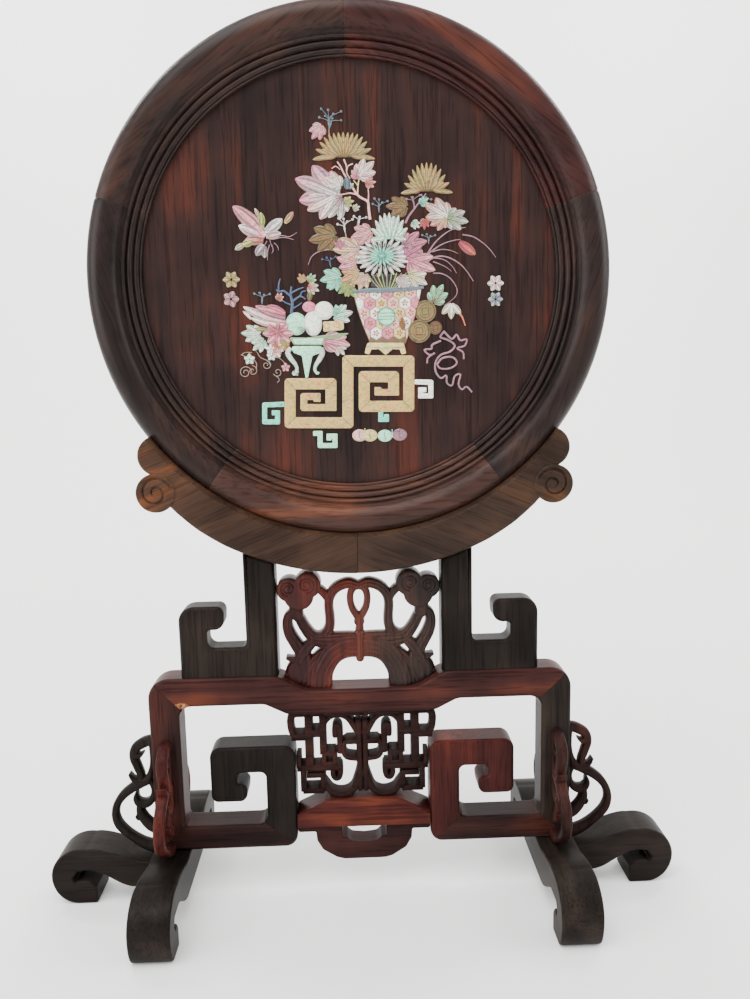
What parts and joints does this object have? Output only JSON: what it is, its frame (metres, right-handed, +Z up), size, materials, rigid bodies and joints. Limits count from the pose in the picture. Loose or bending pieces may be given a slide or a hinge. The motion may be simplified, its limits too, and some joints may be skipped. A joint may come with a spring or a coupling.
{
  "type": "table screen",
  "caption": "Round wooden table screen: an inlaid board in a moulded ring, held by a crescent cradle on a carved gate-shaped stand with four scrolled feet",
  "frame": {"origin": "Middle of the bounding box's bottom: on the table, midway between the four feet", "axes": "+X to the viewer's right along the picture, +Y from the picture side to the back, +Z up; the inlaid side faces -Y"},
  "size_m": [0.52, 0.194, 0.7025],
  "materials": {
    "dark_wood": "dark rosewood, waxed, near-black brown",
    "red_wood": "rosewood, waxed, reddish brown",
    "brown_wood": "rosewood, waxed, olive brown",
    "board_wood": "rosewood board, waxed, dark red brown with an upright grain, inlaid with shell and bone"
  },
  "bodies": {
    "root": {"ring_upper_right": "dark_wood", "ring_lower_right": "dark_wood", "ring_bottom": "red_wood", "ring_lower_left": "dark_wood", "ring_upper_left": "dark_wood", "board": "board_wood", "cradle_right": "brown_wood", "cradle_left": "brown_wood", "l_post_right": "dark_wood", "l_post_left": "dark_wood", "carved_panel": "red_wood", "gate_rail": "red_wood", "gate_post_right": "dark_wood", "gate_post_left": "dark_wood", "bottom_bar_right": "brown_wood", "bottom_bar_left": "brown_wood", "square_scroll_right": "red_wood", "square_scroll_left": "dark_wood", "lattice_panel": "brown_wood", "apron_rail": "red_wood", "apron_pendant": "red_wood", "foot_right": "dark_wood", "foot_left": "dark_wood", "foot_arm_right": "dark_wood", "foot_arm_left": "dark_wood", "bracket_outer_right": "dark_wood", "bracket_outer_left": "dark_wood", "bracket_front_right": "red_wood", "bracket_front_left": "red_wood", "bracket_back_right": "red_wood", "bracket_back_left": "red_wood"}
  },
  "joints": []
}
